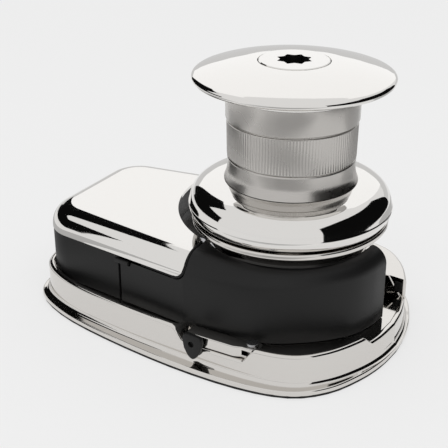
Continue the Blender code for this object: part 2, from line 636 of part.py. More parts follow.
def main():
    clear_scene()
    bpy.context.scene.collection.children.link(parts)
    bpy.context.scene.collection.children.link(cutters)
    chrome = material("polished_stainless", (0.80, 0.80, 0.81), 1.0, 0.08)
    cast = material("chromed_bronze", (0.78, 0.78, 0.79), 1.0, 0.1)
    steel = material("turned_steel", (0.55, 0.55, 0.56), 1.0, 0.3)
    bronze = material("bronze", (0.55, 0.38, 0.18), 1.0, 0.35)
    plastic = material("black_moulding", (0.024, 0.024, 0.025), 0.0, 0.45)
    rubber = material("black_rubber", (0.012, 0.012, 0.012), 0.0, 0.7)
    axis = empty("drum_axis", DRUM_X, 0, 0)
    spin = empty("shaft_spin", 0, 0, 0, axis)
    free = empty("chain_wheel_spin", 0, 0, 0, spin)
    lift = empty("nut_lift", 0, 0, 0, spin)
    turn = empty("nut_turn", 0, 0, 0, lift)
    make_base(axis, cast, rubber)
    make_surround(axis, plastic)
    make_guard(axis, plastic)
    make_lid_seal(make_lid(axis, chrome), rubber)
    make_well(axis, steel, plastic, bronze)
    make_shaft(spin, steel, bronze, rubber, axis)
    make_gypsy(free, cast, bronze, rubber)
    make_drum(spin, chrome, steel)
    make_clutch_nut(lift, turn, chrome, steel, rubber)
    make_pawl(axis, cast, plastic, steel)
    make_screws(axis, steel)


main()
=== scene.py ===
"""Looks of a vertical anchor windlass with a warping drum.

Sizes are in millimetres from the drum axis, x towards the bow, z from the deck.
"""

import json
import math

import bmesh
import bpy
from mathutils import Matrix, Vector


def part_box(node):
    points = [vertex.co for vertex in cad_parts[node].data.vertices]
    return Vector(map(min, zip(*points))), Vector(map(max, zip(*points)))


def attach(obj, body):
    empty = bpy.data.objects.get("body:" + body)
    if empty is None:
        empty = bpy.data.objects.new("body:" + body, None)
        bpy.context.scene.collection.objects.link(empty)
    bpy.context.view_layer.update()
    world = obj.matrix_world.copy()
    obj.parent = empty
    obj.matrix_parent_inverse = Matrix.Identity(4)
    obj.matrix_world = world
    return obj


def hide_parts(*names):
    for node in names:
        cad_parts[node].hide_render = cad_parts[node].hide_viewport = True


bl_info = {
    "name": "Anchor windlass",
    "version": (1, 0, 0),
    "blender": (4, 5, 0),
    "location": "3D View > Sidebar > Windlass",
    "description": "Builds the finished pieces of a vertical anchor windlass on its CAD frame",
    "category": "Object",
}

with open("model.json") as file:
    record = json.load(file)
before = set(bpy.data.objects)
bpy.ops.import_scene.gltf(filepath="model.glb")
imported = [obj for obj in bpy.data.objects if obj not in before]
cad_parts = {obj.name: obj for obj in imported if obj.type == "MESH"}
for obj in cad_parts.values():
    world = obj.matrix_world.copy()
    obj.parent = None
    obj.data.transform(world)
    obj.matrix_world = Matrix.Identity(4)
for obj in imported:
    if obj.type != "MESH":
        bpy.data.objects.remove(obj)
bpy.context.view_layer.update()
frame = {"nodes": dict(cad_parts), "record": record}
SHAFT_LOW, SHAFT_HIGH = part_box("main_shaft")
AXIS = Vector(((SHAFT_LOW[0] + SHAFT_HIGH[0]) / 2, (SHAFT_LOW[1] + SHAFT_HIGH[1]) / 2, 0))
MM = 0.001

# Half outlines of the base from the bow tip round the near side to the aft end
WALL_HALF = [
    (84, 0), (81.5, -22), (74.5, -44), (62, -66), (44, -82), (14, -88),
    (-40, -87), (-100, -81), (-148, -71), (-178, -53), (-187, -24), (-188, 0),
]
FOOT_HALF = [
    (87, 0), (85, -23), (78.5, -47), (66, -71.5), (45, -89), (10, -96.5),
    (-42, -96), (-104, -88), (-151, -76.5), (-182, -58), (-192, -27), (-193, 0),
]
GUARD_FACE = [
    (-43, -75), (-20, -74.5), (2, -72.5), (22, -66.5), (40, -55),
    (55, -41.5), (65, -28), (70.5, -13), (73, 3),
]
FOOT_EDGE = 1.3
FOOT_FILLET = 3.2
LIP_TOP = 28.4
LIP_LAND = 4.2
LIP_ROUND = 2.2
LIP_BREAK = 0.8
FAR_WALL_TOP = 36.6
FAR_WALL_LAND = 15.0
FAR_WALL_FACE = 39.2
NOTCH_TOP = 17.5
NOTCH_LAND = 14.2
FLOOR_TOP = 22.5
SURROUND_TOP = 58.7
LID_BOTTOM = 59.0
LID_TOP = 76.4
LID_END = -43.0
SEAM = -99.6
WELL = (-5.5, 41.5, 96.0)
GUARD_BORE = 60.4
HAWSE = (-72.0, 22.0)
PIVOT = (13.5, -79.0)

# Studio
BACKDROP = "#EEEEEE"
BLACK_CARD = 0.004
FLOOR_SIZE = 12
FLOOR_DROP = 0.0002
FLOOR_GLOW = 0.735
LIGHT_PLACE = (0.35, -0.5, 1.15)
LIGHT_AIM = Vector((0, 0, 0.08))
CAMERA_PLACE = Vector((276.7, -580.2, 382.3))
CAMERA_AIM = Vector((-0.447, 0.786, -0.427))
CAMERA_LENS = 80.36


# Shape helpers

def linked(name, bm):
    """The bmesh as an object in the scene."""
    mesh = bpy.data.meshes.new(name)
    bm.to_mesh(mesh)
    bm.free()
    made = bpy.data.objects.new(name, mesh)
    bpy.context.scene.collection.objects.link(made)
    return made


def placed(name, bm):
    """The bmesh as an object at the drum axis, in metres."""
    bmesh.ops.scale(bm, vec=(MM, MM, MM), verts=bm.verts)
    bmesh.ops.translate(bm, vec=AXIS, verts=bm.verts)
    bmesh.ops.recalc_face_normals(bm, faces=bm.faces)
    return linked(name, bm)


def smoothed(mesh, sharp):
    """Smooth shading that breaks at edges sharper than an angle in degrees."""
    mesh.shade_smooth()
    mesh.set_sharp_from_angle(angle=math.radians(sharp))


def finished(name, bm, sharp, material, body, slot, *nodes):
    """A finished piece that rides on a body and stands for CAD nodes."""
    piece = placed(name, bm)
    smoothed(piece.data, sharp)
    piece.data.materials.append(material)
    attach(piece, body)
    if nodes:
        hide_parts(*nodes)
    return piece


def spline(points, steps):
    """A smooth line through the points."""
    last = len(points) - 1
    made = []
    for i in range(last):
        a, b, c, d = (points[min(max(i + k, 0), last)] for k in (-1, 0, 1, 2))
        for s in range(steps):
            t = s / steps
            made.append(tuple(
                0.5 * (2 * q + (r - p) * t + (2 * p - 5 * q + 4 * r - u) * t * t
                       + (3 * q - p - 3 * r + u) * t ** 3)
                for p, q, r, u in zip(a, b, c, d)
            ))
    made.append(tuple(points[-1]))
    return made


def offset(points, distances, closed=True):
    """The line moved to its left, one distance or one for each point."""
    count = len(points)
    if not isinstance(distances, list):
        distances = [distances] * count
    made = []
    for i, point in enumerate(points):
        before = points[i - 1] if closed or i else point
        after = points[(i + 1) % count] if closed or i < count - 1 else point
        along = Vector((after[0] - before[0], after[1] - before[1])).normalized()
        made.append((point[0] - along.y * distances[i], point[1] + along.x * distances[i]))
    return made


def quarter(step, start=0):
    """The angles of a quarter turn, in radians from steps in degrees."""
    return [math.radians(turn) for turn in range(start, 91, step)]


def arc(cx, cy, radius, start, end, steps):
    """Points round a centre, from one angle to another in degrees."""
    turns = [math.radians(start + (end - start) * i / steps) for i in range(steps + 1)]
    return [(cx + radius * math.cos(t), cy + radius * math.sin(t)) for t in turns]


def ease(t):
    """Runs smoothly from 0 to 1."""
    t = min(max(t, 0.0), 1.0)
    return t * t * (3 - 2 * t)


def fall(radius, run):
    """How far a quarter round drops when it runs on from its crest."""
    return radius - math.sqrt(max(radius ** 2 - run ** 2, 0.0))


def line_of(bm, points, closed=True):
    """Vertices and edges along a line."""
    verts = [bm.verts.new(p) for p in points]
    pairs = list(zip(verts, verts[1:] + verts[:1])) if closed else list(zip(verts, verts[1:]))
    return verts, [bm.edges.new(pair) for pair in pairs]


def bridged(bm, lines, closed=True):
    """A skin over lines of equal count, one pair after another."""
    made = [line_of(bm, points, closed) for points in lines]
    if closed:
        for (_, low), (_, high) in zip(made, made[1:]):
            bmesh.ops.bridge_loops(bm, edges=low + high)
        return made
    for (low, _), (high, _) in zip(made, made[1:]):
        for a, b, c, d in zip(low, low[1:], high[1:], high):
            bm.faces.new((a, b, c, d))
    return made


def tidy(bm, distance=0.01):
    """Merges vertices that meet and drops faces without area."""
    bmesh.ops.remove_doubles(bm, verts=bm.verts, dist=distance)
    bmesh.ops.dissolve_degenerate(bm, edges=bm.edges, dist=0.001)


def turned(profile, steps, centre=(0, 0)):
    """A profile of (radius, z) spun once round. Points on the axis close it."""
    bm = bmesh.new()
    verts, edges = line_of(bm, [(r, 0, z) for r, z in profile])
    on_axis = [e for e in edges if all(v.co.x < 1e-6 for v in e.verts)]
    edges = [e for e in edges if e not in on_axis]
    bmesh.ops.delete(bm, geom=on_axis, context="EDGES")
    bmesh.ops.spin(bm, geom=verts + edges, cent=(0, 0, 0), axis=(0, 0, 1), dvec=(0, 0, 0),
                   angle=math.tau, steps=steps, use_merge=True)
    tidy(bm)
    bmesh.ops.translate(bm, vec=(*centre, 0), verts=bm.verts)
    return bm


def rod(radius, bottom, top, steps, centre=(0, 0)):
    """A plain cylinder, to cut with."""
    return turned([(0, top), (radius, top), (radius, bottom), (0, bottom)], steps, centre)


def rectangle(left, near, right, far):
    """The four corners of a flat block."""
    return [(left, near), (right, near), (right, far), (left, far)]


def rounded(profile, radius, steps=3, corners=None):
    """The profile with its corners rounded: those with the indices given, or all."""
    made = []
    count = len(profile)
    for i, point in enumerate(profile):
        here = Vector(point)
        before = Vector(profile[i - 1]) - here
        after = Vector(profile[(i + 1) % count]) - here
        reach = min(radius, before.length * 0.45, after.length * 0.45)
        if (corners is not None and i not in corners) or before.angle(after) > 2.7:
            made.append(tuple(here))
            continue
        a = here + before.normalized() * reach
        b = here + after.normalized() * reach
        for s in range(steps + 1):
            t = s / steps
            made.append(tuple(a * (1 - t) ** 2 + here * 2 * t * (1 - t) + b * t * t))
    return made


def slab(outline, bottom, top, bevel=0.0):
    """A flat outline raised from bottom to top, its edges broken."""
    bm = bmesh.new()
    verts = [bm.verts.new((x, y, bottom)) for x, y in outline]
    face = bm.faces.new(verts)
    raised = bmesh.ops.extrude_face_region(bm, geom=[face])
    moved = [g for g in raised["geom"] if isinstance(g, bmesh.types.BMVert)]
    bmesh.ops.translate(bm, vec=(0, 0, top - bottom), verts=moved)
    bmesh.ops.recalc_face_normals(bm, faces=bm.faces)
    if bevel:
        edges = [e for e in bm.edges if e.calc_face_angle(0) > 0.5]
        bmesh.ops.bevel(bm, geom=edges, offset=bevel, segments=3, profile=0.5, affect="EDGES",
                        material=-1, offset_type="OFFSET", clamp_overlap=True)
    return bm


def wall_of(points, thickness):
    """The closed outline of a wall that follows a line and grows to its right."""
    return points + offset(points, -thickness, closed=False)[::-1]


def upright(bm):
    """Turns a flat plate to stand facing the near side."""
    bmesh.ops.rotate(bm, cent=(0, 0, 0), matrix=Matrix.Rotation(math.pi / 2, 3, "X"),
                     verts=bm.verts)
    return bm


def baked(piece):
    """Turns a piece with modifiers into plain mesh."""
    bpy.context.view_layer.update()
    graph = bpy.context.evaluated_depsgraph_get()
    mesh = bpy.data.meshes.new_from_object(piece.evaluated_get(graph))
    piece.modifiers.clear()
    piece.data = mesh
    smoothed(mesh, 28)


def cut(piece, bms, solver="EXACT"):
    """Cuts solids from a finished piece and leaves plain mesh behind."""
    tools = [placed(f"cut_{i}", bm) for i, bm in enumerate(bms)]
    for tool in tools:
        made = piece.modifiers.new("cut", "BOOLEAN")
        made.operation = "DIFFERENCE"
        made.object = tool
        made.solver = solver
    baked(piece)
    for tool in tools:
        bpy.data.objects.remove(tool)


def tube(name, points, radius, material, body, slot, *nodes):
    """A round strip along a line, as a mesh."""
    curve = bpy.data.curves.new(name, "CURVE")
    curve.dimensions = "3D"
    curve.bevel_depth = radius
    curve.bevel_resolution = 4
    curve.use_fill_caps = True
    line = curve.splines.new("POLY")
    line.points.add(len(points) - 1)
    for point, place in zip(line.points, points):
        point.co = (*place, 1)
    helper = bpy.data.objects.new(name, curve)
    bpy.context.scene.collection.objects.link(helper)
    bpy.context.view_layer.update()
    bm = bmesh.new()
    bm.from_mesh(helper.evaluated_get(bpy.context.evaluated_depsgraph_get()).to_mesh())
    bpy.data.objects.remove(helper)
    tidy(bm, 0.001)
    return finished(name, bm, 50, material, body, slot, *nodes)


# Materials

def colour(hex_code):
    """Linear colour of an sRGB hex value."""
    parts = [int(hex_code[i:i + 2], 16) / 255 for i in (1, 3, 5)]
    return (*[c / 12.92 if c <= 0.04045 else ((c + 0.055) / 1.055) ** 2.4 for c in parts], 1)


def add(tree, kind, settings=None, **links):
    """Adds a node, sets its properties or input values, and links its inputs."""
    made = tree.nodes.new(kind)
    for key, value in (settings or {}).items():
        if isinstance(key, str) and hasattr(made, key):
            setattr(made, key, value)
        else:
            made.inputs[key].default_value = value
    for key, source in links.items():
        tree.links.new(source, made.inputs[key.replace("_", " ")])
    return made


def new_material(name, base, metallic, roughness, ior=None):
    """A material with its node tree and its shader."""
    made = bpy.data.materials.new(name)
    made.use_nodes = True
    shader = made.node_tree.nodes["Principled BSDF"]
    shader.inputs["Base Color"].default_value = colour(base)
    shader.inputs["Metallic"].default_value = metallic
    shader.inputs["Roughness"].default_value = roughness
    if ior:
        shader.inputs["IOR"].default_value = ior
    return made, made.node_tree, shader


def noise(tree, place, scale, detail):
    """Noise over a place."""
    settings = {"Scale": scale, "Detail": detail}
    return add(tree, "ShaderNodeTexNoise", settings, Vector=place).outputs["Fac"]


def mapped(tree, place, settings):
    """The place moved or stretched."""
    return add(tree, "ShaderNodeMapping", settings, Vector=place).outputs["Vector"]


def ramp(tree, source, low, high):
    """Noise spread between two values."""
    made = add(tree, "ShaderNodeMapRange",
               {"From Min": 0.3, "From Max": 0.7, "To Min": low, "To Max": high}, Value=source)
    return made.outputs["Result"]


def worn(tree, shader, source, roughness, spread):
    """Roughness that wanders about its value with the noise."""
    wander = ramp(tree, source, roughness * (1 - spread), roughness * (1 + spread))
    tree.links.new(wander, shader.inputs["Roughness"])


def relief(tree, shader, source, strength, distance):
    """Fine bumps from the noise."""
    bump = add(tree, "ShaderNodeBump", {"Strength": strength, "Distance": distance}, Height=source)
    tree.links.new(bump.outputs["Normal"], shader.inputs["Normal"])


def polished(name, base, roughness, spread):
    """Polished metal: a clean mirror with the faint wandering haze of a buffing wheel."""
    made, tree, shader = new_material(name, base, 1.0, roughness)
    place = add(tree, "ShaderNodeTexCoord").outputs["Object"]
    worn(tree, shader, noise(tree, place, 38.0, 4.0), roughness, spread)
    # Buffing lines about 0.4 mm apart, drawn out along one way
    stretch = mapped(tree, place, {"Scale": (240.0, 240.0, 2600.0)})
    relief(tree, shader, noise(tree, stretch, 1.0, 2.0), 0.012, 0.0002)
    return made


def turned_metal(name, base, roughness, strength, spacing):
    """Metal finished on the lathe: fine rings that draw each reflection out upwards."""
    made, tree, shader = new_material(name, base, 1.0, roughness)
    place = add(tree, "ShaderNodeTexCoord").outputs["Object"]
    centred = mapped(tree, place, {"Location": (-AXIS.x, -AXIS.y, 0.0)})
    stretch = mapped(tree, centred, {"Scale": (12.0, 12.0, 1.0 / spacing)})
    rings = noise(tree, stretch, 1.0, 3.0)
    worn(tree, shader, noise(tree, place, 30.0, 3.0), roughness, 0.2)
    relief(tree, shader, rings, strength, 0.0002)
    return made


def moulded(name, base, roughness, grain, strength):
    """Moulded plastic or rubber: the fine grain of the mould breaks the shine into a soft sheen."""
    made, tree, shader = new_material(name, base, 0.0, roughness, 1.34)
    place = add(tree, "ShaderNodeTexCoord").outputs["Object"]
    fine = noise(tree, place, 1.0 / grain, 3.0)
    wide = noise(tree, place, 22.0, 3.0)
    worn(tree, shader, wide, roughness, 0.12)
    tint = ramp(tree, wide, 0.85, 1.15)
    shade = add(tree, "ShaderNodeMix", {"data_type": "RGBA", "blend_type": "MULTIPLY"})
    shade.inputs[0].default_value = 1.0
    shade.inputs[6].default_value = colour(base)
    tree.links.new(tint, shade.inputs[7])
    tree.links.new(shade.outputs[2], shader.inputs["Base Color"])
    relief(tree, shader, fine, strength, 0.0003)
    return made


MATERIALS = {}


def finish(name):
    """The finish of that name, made when first asked for."""
    if name not in MATERIALS:
        looks = bpy.context.scene.windlass_looks
        makers = {
            # Electropolished stainless steel: near white mirror
            "polished_stainless": lambda: polished(name, "#E6E4E1", looks.mirror, 0.35),
            # Chrome plate over polished bronze: the same mirror, a touch softer
            "chrome_plate": lambda: polished(name, "#D9D6D2", looks.mirror * 1.5, 0.4),
            # Stainless steel from the lathe, fine turned
            "turned_stainless": lambda: turned_metal(name, "#C0BDB9", 0.26, 0.05, 0.0006),
            "turned_steel": lambda: turned_metal(name, "#A9A9AB", 0.28, 0.06, 0.0006),
            "bearing_bronze": lambda: turned_metal(name, "#A97F4A", 0.32, 0.06, 0.0006),
            # Walls of the broached steel socket: near black, painted shade deep in the socket
            "socket_painted_shade": lambda: moulded(name, "#050505", 0.5, 0.0008, 0.1),
            # Weather-proof ASA, moulded black
            "moulded_asa": lambda: moulded(name, looks.plastic_hex, looks.plastic_roughness,
                                           0.0005, 0.10),
            # EPDM rubber, moulded: duller and smoother than the plastic
            "epdm_rubber": lambda: moulded(name, "#0D0D0D", 0.62, 0.0009, 0.15),
        }
        MATERIALS[name] = makers[name]()
    return MATERIALS[name]


# Properties

class WindlassLooks(bpy.types.PropertyGroup):
    """Finishes that a user would change."""
    mirror: bpy.props.FloatProperty(
        name="Mirror roughness", description="Roughness of the polished metal",
        default=0.045, min=0.0, max=1.0)
    plastic_hex: bpy.props.StringProperty(
        name="Plastic colour", description="sRGB colour of the black mouldings",
        default="#161616")
    plastic_roughness: bpy.props.FloatProperty(
        name="Plastic roughness", description="Roughness of the mouldings",
        default=0.42, min=0.0, max=1.0)


class WindlassSizes(bpy.types.PropertyGroup):
    """Sizes that a user would change."""
    ridges: bpy.props.IntProperty(
        name="Knurl ridges", description="Upright ridges round the rope drum",
        default=132, min=24)
    ridge: bpy.props.FloatProperty(
        name="Knurl depth", description="Depth of a ridge, in millimetres",
        default=0.32, min=0.0)
    turn_steps: bpy.props.IntProperty(
        name="Turn steps", description="Faces round a turned piece",
        default=160, min=24)


# Operators

class WINDLASS_OT_base(bpy.types.Operator):
    """Base: foot, lip, higher far wall, sill at the bow and the lever's notch"""
    bl_idname = "windlass.base"
    bl_label = "Base"

    def execute(self, context):
        wall = spline(WALL_HALF, 30)
        foot = spline(FOOT_HALF, 30)
        wall += [(x, -y) for x, y in reversed(wall[1:-1])]
        foot += [(x, -y) for x, y in reversed(foot[1:-1])]
        tops, lands = [], []
        for x, y in wall:
            top, land = LIP_TOP, LIP_LAND
            if y > 39 and x > -30:
                top, land = FAR_WALL_TOP, FAR_WALL_LAND
            elif x > 55 and y <= 39:
                near = ease((-y - 30) / 9)
                top = FLOOR_TOP + (LIP_TOP - FLOOR_TOP) * near
            if y < -60 and -47 < x < 20:
                down = ease((x + 46) / 11) * ease((19.5 - x) / 10.5)
                top += (NOTCH_TOP - top) * down
                land += (NOTCH_LAND - land) * ease(down * 3)
            tops.append(top)
            lands.append(land)
        inner = [(x, max(y, FAR_WALL_FACE)) if top > LIP_TOP else (x, y)
                 for (x, y), top in zip(offset(wall, [-w for w in lands]), tops)]
        lines = [[(x, y, 2.0) for x, y in offset(foot, -0.3)]]
        lines.append([(x, y, 2.4) for x, y in foot])
        for a in quarter(18):
            z = 4.3 + FOOT_EDGE * math.sin(a)
            lines.append([(x, y, z) for x, y in offset(foot, -FOOT_EDGE * (1 - math.cos(a)))])
        for a in quarter(18):
            z = 9.0 - FOOT_FILLET * math.cos(a)
            lines.append([(x, y, z) for x, y in offset(wall, FOOT_FILLET * (1 - math.sin(a)))])
        for a in quarter(15):
            ring = offset(wall, -LIP_ROUND * (1 - math.cos(a)))
            drop = LIP_ROUND * (1 - math.sin(a))
            lines.append([(x, y, top - drop) for (x, y), top in zip(ring, tops)])
        for a in quarter(30):
            back = LIP_BREAK * (1 - math.sin(a))
            drop = LIP_BREAK * (1 - math.cos(a))
            ring = offset(wall, [-(w - back) for w in lands])
            ring = [(x, max(y, FAR_WALL_FACE + back)) if top > LIP_TOP else (x, y)
                    for (x, y), top in zip(ring, tops)]
            lines.append([(x, y, top - drop) for (x, y), top in zip(ring, tops)])
        lines.append([(x, y, FLOOR_TOP - 0.01) for x, y in inner])
        bm = bmesh.new()
        made = bridged(bm, lines)
        bm.faces.new(made[0][0])
        bm.faces.new(made[-1][0])
        tidy(bm, 0.002)
        base = finished("windlass_base", bm, 40, finish("chrome_plate"), "base_assembly",
                        "chromed_bronze", "base")
        tools = [rod(r, -5, 60, 72, centre) for r, centre in ((21.3, (0, 0)), (22.3, HAWSE))]
        tools.append(slab(rounded(rectangle(67.5, 36, 74.3, 45), 0.5, 2), 25.4, 33.9))
        # The lip and the sill meet at a step that only this solver resolves
        cut(base, tools, "MANIFOLD")
        return {"FINISHED"}


def skirt_y(x):
    """Half width of the lid and surround, which narrow towards the aft end."""
    return 75 - 0.128 * (LID_END - x)


def between(start, end, steps, first=0):
    """Points on the way from start to end, without the last, or without the first."""
    return [(start[0] + (end[0] - start[0]) * i / steps, start[1] + (end[1] - start[1]) * i / steps)
            for i in range(first, steps + first)]


def cover_line(inset=0.0, first=LID_END, last=-100.0):
    """The outline from the near end round the aft end to the far end, open at the well."""
    radius = max(31 - inset, 2)
    corner = -180.5 + inset + radius
    half = skirt_y(corner) - inset - radius
    points = arc(corner, -half, radius, 263, 180, 22) + arc(corner, half, radius, 180, 97, 22)
    head = between((first, -skirt_y(first) + inset), points[0], 90)
    tail = between(points[-1], (last, skirt_y(last) - inset), 30, 1)
    return head + points + tail


class WINDLASS_OT_lid(bpy.types.Operator):
    """Chain-pipe cover: a polished pressing with a rolled shoulder, and its black seal"""
    bl_idname = "windlass.lid"
    bl_label = "Chain-pipe lid"

    def execute(self, context):
        shoulder = 16.0
        corner = 8.5
        lines = []
        steps = [(0.0, LID_BOTTOM), (0.0, LID_BOTTOM + 0.7)]
        steps += [(shoulder * (1 - math.cos(a)), LID_TOP - shoulder + shoulder * math.sin(a))
                  for a in quarter(6)]
        steps.append((shoulder + 0.8, LID_TOP))
        for inset, z in steps:
            line = []
            for x, y in cover_line(inset):
                low = LID_BOTTOM
                if y < 0 and x > LID_END - corner:
                    low += fall(corner, x - LID_END + corner)
                if z < low:
                    rise = max(low - (LID_TOP - shoulder), 0.0)
                    inward = fall(shoulder, rise)
                    line.append((x, -skirt_y(x) + inward, low))
                else:
                    line.append((x, y, z))
            lines.append(line)
        bm = bmesh.new()
        made = bridged(bm, lines, closed=False)
        edge = [bm.verts.new((x, y, LID_TOP)) for x, y in arc(*WELL, 176, 245.5, 40)]
        bm.faces.new(made[-1][0] + edge)
        tidy(bm, 0.02)
        lid = finished("chain_pipe_cover", bm, 40, finish("polished_stainless"), "lid",
                       "polished_stainless", "chain_pipe_lid")
        wall = lid.modifiers.new("wall", "SOLIDIFY")
        wall.thickness = 2.2 * MM
        wall.offset = -1
        baked(lid)
        route = [(x, -skirt_y(x) + 1.0, LID_BOTTOM - 1.0) for x in (-80, -73, -65, -58, -52)]
        for a in quarter(9):
            x = LID_END - corner + (corner + 0.9) * math.sin(a)
            z = LID_BOTTOM + corner - (corner + 1.0) * math.cos(a)
            rise = max(z - (LID_TOP - shoulder), 0.0)
            route.append((x, -75 + 1.0 + fall(shoulder, rise), z))
        for a in quarter(6, 28):
            route.append((LID_END + 0.9, -75 + 0.6 + shoulder * (1 - math.cos(a)),
                          LID_TOP - 0.6 - shoulder + shoulder * math.sin(a)))
        route += [(LID_END + 0.5, -54, LID_TOP - 0.5), (LID_END - 0.2, -49, LID_TOP - 0.5)]
        tube("cover_seal", route, 1.0, finish("epdm_rubber"), "lid", "black_rubber", "lid_seal")
        return {"FINISHED"}


class WINDLASS_OT_surround(bpy.types.Operator):
    """Black surround: the wall under the lid and the hollow wall of the chain well"""
    bl_idname = "windlass.surround"
    bl_label = "Surround"

    def execute(self, context):
        outline = cover_line(0.4, SEAM - 2.4, -100.2)
        well = arc(WELL[0], WELL[1], WELL[2] + 0.4, 176, 244, 44)
        plastic = finish("moulded_asa")
        low = FLOOR_TOP + 0.3
        finished("chain_surround", slab(wall_of(outline + well, 2.4), low, SURROUND_TOP - 0.1, 0.5),
                 35, plastic, "base_assembly", "black_moulding", "surround")
        finished("well_wall", slab(wall_of(well, 2.0), SURROUND_TOP - 2, LID_TOP - 2.9, 0.4),
                 35, plastic, "base_assembly", "black_moulding")
        tongue = [(x, -skirt_y(x) + 0.4) for x in (SEAM - 4, SEAM + 8.6)]
        finished("surround_tongue", slab(wall_of(tongue, 2.4), 54.1, 57.1, 0.3),
                 35, plastic, "base_assembly", "black_moulding")
        floor = offset(outline + well, -1.2, closed=False)
        finished("surround_floor", slab(floor, low + 0.1, low + 3, 0.3),
                 35, plastic, "base_assembly", "black_moulding")
        return {"FINISHED"}


class WINDLASS_OT_guard(bpy.types.Operator):
    """Black guard: a strip under the lid and the tall shoulder round the drum"""
    bl_idname = "windlass.guard"
    bl_label = "Guard"

    def execute(self, context):
        start = LID_END + 2.0
        corner = 9.6
        strip_top = 56.6
        strip = [(x, -skirt_y(x)) for x, _ in between((SEAM, 0), (LID_END, 0), 44)]
        face = strip + spline(GUARD_FACE, 18)
        lines = []
        heights = [FLOOR_TOP + 0.3, FLOOR_TOP + 1.0, 34, 46, 54, strip_top]
        shoulder = 15.0
        # Straight rows hold an inset and a height, and the shoulder's rows hold an angle
        rows = [(0.0 if z > FLOOR_TOP + 0.5 else 0.5, z) for z in heights]
        rows += [(None, a) for a in quarter(6)]
        for inset, z in rows:
            line = []
            for x, y in face:
                along = ease((x - 10) / 50)
                round_r = shoulder - 3.5 * along
                if inset is None:
                    inward = round_r * (1 - math.cos(z))
                    height = LID_TOP - round_r + round_r * math.sin(z)
                else:
                    inward, height = inset, z
                limit = LID_TOP
                if x < start:
                    limit = strip_top if x > SEAM + 9.4 else 53.3
                    if x > start - corner:
                        limit += fall(corner, x - start + corner)
                if height > limit:
                    height = limit
                    rise = max(height - (LID_TOP - round_r), 0.0)
                    inward = fall(round_r, rise)
                line.append((x, y, height, inward))
            moved = offset([(p[0], p[1]) for p in line], [p[3] for p in line], closed=False)
            moved = [(max(x, start) if old[0] >= start else x, y)
                     for (x, y), old in zip(moved, line)]
            lines.append([(x, y, p[2]) for (x, y), p in zip(moved, line)])
        bm = bmesh.new()
        made = bridged(bm, lines, closed=False)
        first = next(i for i, p in enumerate(face) if p[0] >= start)
        rim = [v.co.copy() for v in made[-1][0][first:]]
        count = len(rim) - 1
        last = math.degrees(math.atan2(rim[-1].y, rim[-1].x)) - 1
        begin = -math.degrees(math.acos(start / GUARD_BORE))
        inner = arc(0, 0, GUARD_BORE, begin, last, count)
        curl = arc(0, 0, GUARD_BORE + 1.0, begin, last, count)
        turn = arc(0, 0, GUARD_BORE + 0.3, begin, last, count)
        lines = [[tuple(p) for p in rim]]
        for ring, z in ((curl, LID_TOP), (turn, LID_TOP - 0.3), (inner, LID_TOP - 1.0),
                        (inner, 50), (inner, FLOOR_TOP + 0.4)):
            lines.append([(x, y, z) for x, y in ring])
        bridged(bm, lines, closed=False)
        tip = [line[0][-1].co.copy() for line in made]
        well = lines[-1][-1]
        back = [(well[0], well[1], min(p.z, LID_TOP - 1)) for p in tip]
        bridged(bm, [[tuple(p) for p in tip], back], closed=False)
        tidy(bm, 0.02)
        finished("drum_guard", bm, 42, finish("moulded_asa"), "base_assembly", "black_moulding",
                 "guard")
        return {"FINISHED"}


class WINDLASS_OT_drum(bpy.types.Operator):
    """Warping drum: lower flange, knurled barrel and domed top flange"""
    bl_idname = "windlass.drum"
    bl_label = "Drum"

    def execute(self, context):
        sizes = context.scene.windlass_sizes
        steel = finish("polished_stainless")
        outer = spline([(45.2, 116.5), (51, 115.9), (57, 114.8), (62, 113), (66.3, 109.9),
                        (69.4, 105.1), (70.9, 99)], 7)
        rim = rounded([(71.2, 98.6), (71.2, 97.2), (70.2, 94.6), (68.8, 91.7), (66, 91.7)], 0.8, 3,
                      (1, 2, 3))
        bell = outer + rim + [(64.5, 95.5), (58, 103), (44, 107.5), (24, 107.5), (24, 89.8),
                              (14.4, 89.8), (14.4, 116.3)]
        finished("lower_flange", turned(bell, sizes.turn_steps), 30, steel, "drive_shaft",
                 "polished_stainless", "drum_lower_flange")
        barrel = [(45.7, 178), (45.5, 161.2), (45.2, 160.5), (44.0, 160.2), (44.0, 159.5),
                  (44.7, 159.2), (44.8, 158.6), (44.8, 158.2), (44.4, 134.8), (44.3, 134.4),
                  (43.3, 134.1), (43.3, 133.3), (44.0, 133.0)]
        barrel += spline([(44.2, 132.4), (44.1, 127), (44.5, 122), (46.3, 116.7)], 5)
        barrel += [(36, 116.7), (36, 178)]
        bm = turned(barrel, sizes.ridges * 4)
        for vert in bm.verts:
            radius = vert.co.xy.length
            if 134.6 < vert.co.z < 158.4 and radius > 43:
                turn = math.atan2(vert.co.y, vert.co.x) * sizes.ridges
                vert.co.xy *= 1 - sizes.ridge * (0.5 - 0.5 * math.cos(turn)) / radius
        finished("rope_barrel", bm, 55, finish("turned_stainless"), "drive_shaft",
                 "polished_stainless", "drum_barrel")
        dome = spline([(24.3, 199), (34, 198.3), (45, 196.7), (55, 194.5), (62, 192.6),
                       (66, 191.2)], 8)
        edge = spline([(67.3, 190.5), (68.1, 189.4), (68.0, 187.8), (66.9, 186.4), (65, 185.9)], 4)
        under = spline([(60, 185.5), (54, 184.4), (49.5, 182.2), (47.2, 180.2), (46.2, 178.3)], 4)
        cap = [(24.3, 183.5), (24.3, 198.6), (24.5, 198.95)] + dome[1:] + edge + under
        cap += [(14.4, 178.3), (14.4, 183.5)]
        finished("top_flange", turned(cap, sizes.turn_steps), 30, steel, "drive_shaft",
                 "polished_stainless", "drum_top_flange")
        return {"FINISHED"}


